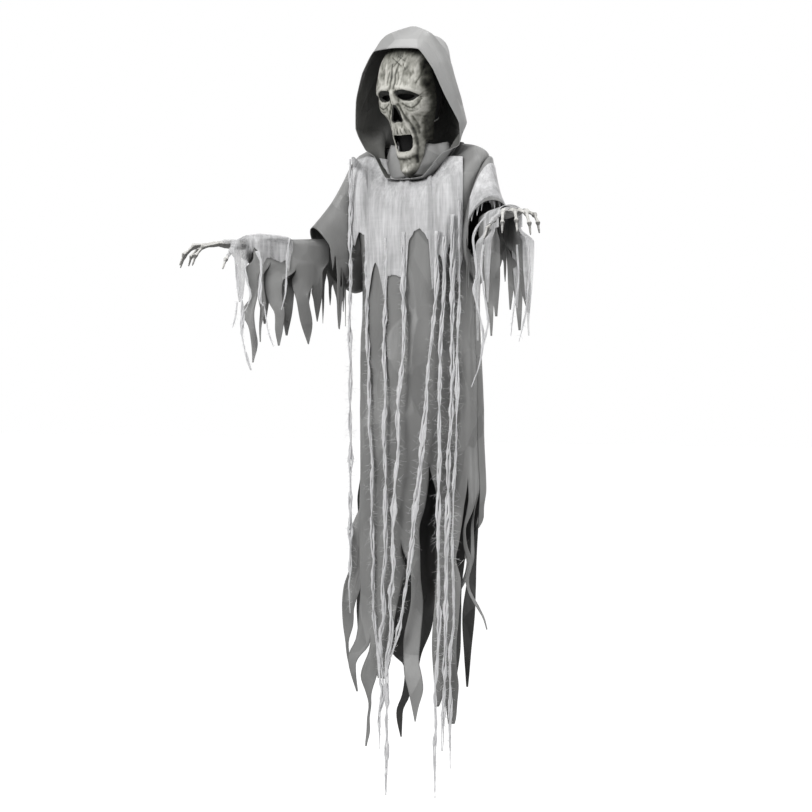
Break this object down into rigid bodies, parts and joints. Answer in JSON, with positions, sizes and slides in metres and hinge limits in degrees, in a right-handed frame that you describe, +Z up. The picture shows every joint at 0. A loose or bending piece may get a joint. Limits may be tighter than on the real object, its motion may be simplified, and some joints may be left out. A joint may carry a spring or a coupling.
{
  "type": "hanging ghost figure",
  "caption": "Hanging hooded ghost figure with a turning masked head, jointed elbows, skeletal hands, tattered robe, gauze layers and a chest unit with motor and battery bay.",
  "frame": {"origin": "centre of the hanging eye at the top of the rod", "axes": "+Z up along the hanger rod, -Y out of the face, +X towards the figure's left arm"},
  "size_m": [0.9242, 0.5275, 1.8304],
  "materials": {
    "hood_cloth": "satin",
    "robe_cloth": "satin",
    "gauze": "matte",
    "bone_plastic": "matte",
    "mask_plastic": "matte",
    "black_screen": "matte",
    "white_acetal": "satin",
    "green_board": "satin",
    "cell_sleeve": "gloss",
    "led_lens": "gloss",
    "zinc_steel": "satin",
    "black_plastic": "satin"
  },
  "bodies": {
    "torso": {"hanger_rod": "zinc_steel", "crown_cup": "black_plastic", "rod_nut": "zinc_steel", "shoulder_yoke": "black_plastic", "chest_front_shell": "black_plastic", "chest_back_shell": "black_plastic", "battery_cell_1": "cell_sleeve", "battery_cell_2": "cell_sleeve", "battery_cell_3": "cell_sleeve", "switch_body": "black_plastic", "speaker": "black_plastic", "circuit_board": "green_board", "mechanism_plate": "zinc_steel", "gear_motor": "zinc_steel", "housing_screw_1": "zinc_steel", "housing_screw_2": "zinc_steel", "housing_screw_3": "zinc_steel", "housing_screw_4": "zinc_steel", "upper_arm_tube_left": "zinc_steel", "elbow_fork_left": "black_plastic", "elbow_bolt_left": "zinc_steel", "elbow_wing_nut_left": "zinc_steel", "sleeve_upper_left": "robe_cloth", "upper_arm_tube_right": "zinc_steel", "elbow_fork_right": "black_plastic", "elbow_bolt_right": "zinc_steel", "elbow_wing_nut_right": "zinc_steel", "sleeve_upper_right": "robe_cloth", "hood": "hood_cloth", "robe_front": "robe_cloth", "robe_back": "robe_cloth", "gauze_bib": "gauze", "gauze_shoulder": "gauze"},
    "head": {"neck_tube": "white_acetal", "neck_gear": "white_acetal", "head_back": "black_plastic", "face_mask": "mask_plastic", "face_screen": "black_screen", "eye_led_left": "led_lens", "eye_led_right": "led_lens"},
    "pinion": {"motor_pinion": "white_acetal"},
    "forearm_left": {"forearm_tube_left": "black_plastic", "hand_left": "bone_plastic", "sleeve_lower_left": "robe_cloth", "gauze_cuff_left": "gauze"},
    "forearm_right": {"forearm_tube_right": "black_plastic", "hand_right": "bone_plastic", "sleeve_lower_right": "robe_cloth", "gauze_cuff_right": "gauze"},
    "door": {"battery_door": "black_plastic"},
    "switch": {"mode_switch": "black_plastic"},
    "button": {"try_button": "black_plastic"}
  },
  "joints": [
    {"name": "head_turn", "type": "hinge", "parent": "torso", "child": "head", "pos_m": [0, 0, -0.25], "axis": [0, 0, 1], "range_deg": [-20, 20]},
    {"name": "pinion_spin", "type": "hinge", "parent": "torso", "child": "pinion", "pos_m": [0.03, 0, -0.2946], "axis": [0, 0, 1], "range_deg": [-65, 65]},
    {"name": "elbow_right", "type": "hinge", "parent": "torso", "child": "forearm_right", "pos_m": [-0.21834, -0.07247, -0.505], "axis": [-0.788, 0.6157, 0], "range_deg": [-10, 20]},
    {"name": "elbow_left", "type": "hinge", "parent": "torso", "child": "forearm_left", "pos_m": [0.21834, -0.07247, -0.455], "axis": [-0.788, -0.6157, 0], "range_deg": [-10, 20]},
    {"name": "battery_door_slide", "type": "slide", "parent": "torso", "child": "door", "axis": [0, 0, -1], "range_m": [0, 0.06]},
    {"name": "mode_switch_slide", "type": "slide", "parent": "torso", "child": "switch", "axis": [1, 0, 0], "range_m": [-0.0035, 0.0035]},
    {"name": "try_button_press", "type": "slide", "parent": "torso", "child": "button", "axis": [-1, 0, 0], "range_m": [0, 0.0025], "stiffness_N_per_m": 300, "springref_m": -0.0005}
  ],
  "couplings": [
    {"joint": "pinion_spin", "follows": "head_turn", "ratio": -3}
  ]
}
